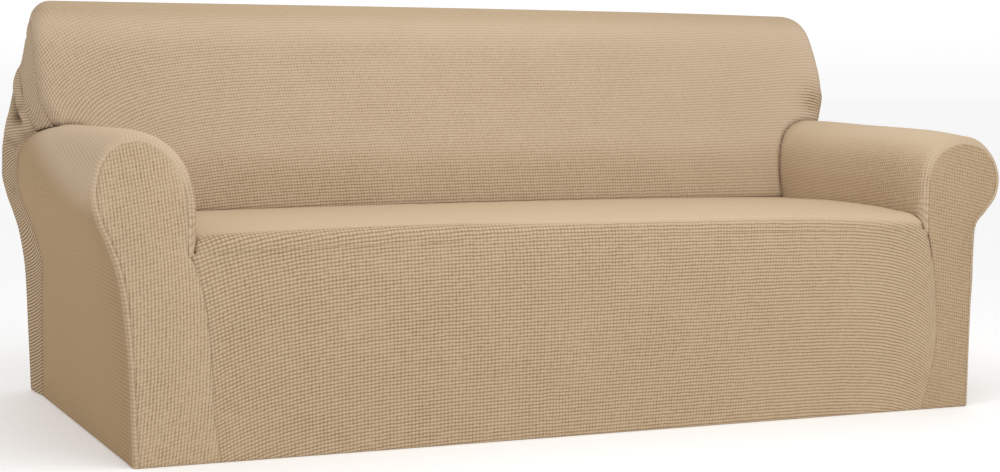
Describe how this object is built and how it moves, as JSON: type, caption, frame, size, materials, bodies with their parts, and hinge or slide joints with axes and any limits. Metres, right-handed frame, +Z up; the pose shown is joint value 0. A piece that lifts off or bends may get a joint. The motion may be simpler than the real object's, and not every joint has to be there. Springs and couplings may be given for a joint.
{
  "type": "sofa slipcover",
  "caption": "Hollow fitted stretch cover for a three-seat sofa with rolled arms: seat, apron, back, gussets, arm sleeves and arm fronts in a grid knit, sewn edge to edge.",
  "frame": {"origin": "centre of the footprint, on the floor, below the middle of the cover", "axes": "+X to the right as seen from the front, along the seat; +Y to the rear; +Z up"},
  "size_m": [2.164, 1.1619, 0.9603],
  "materials": {
    "stretch_knit": "matt sand-coloured stretch knit with a raised check grid"
  },
  "bodies": {
    "root": {"seat_apron": "stretch_knit", "inner_back": "stretch_knit", "outer_back": "stretch_knit", "back_end_left": "stretch_knit", "back_end_right": "stretch_knit", "arm_sleeve_left": "stretch_knit", "arm_sleeve_right": "stretch_knit", "arm_front_left": "stretch_knit", "arm_front_right": "stretch_knit"}
  },
  "joints": []
}
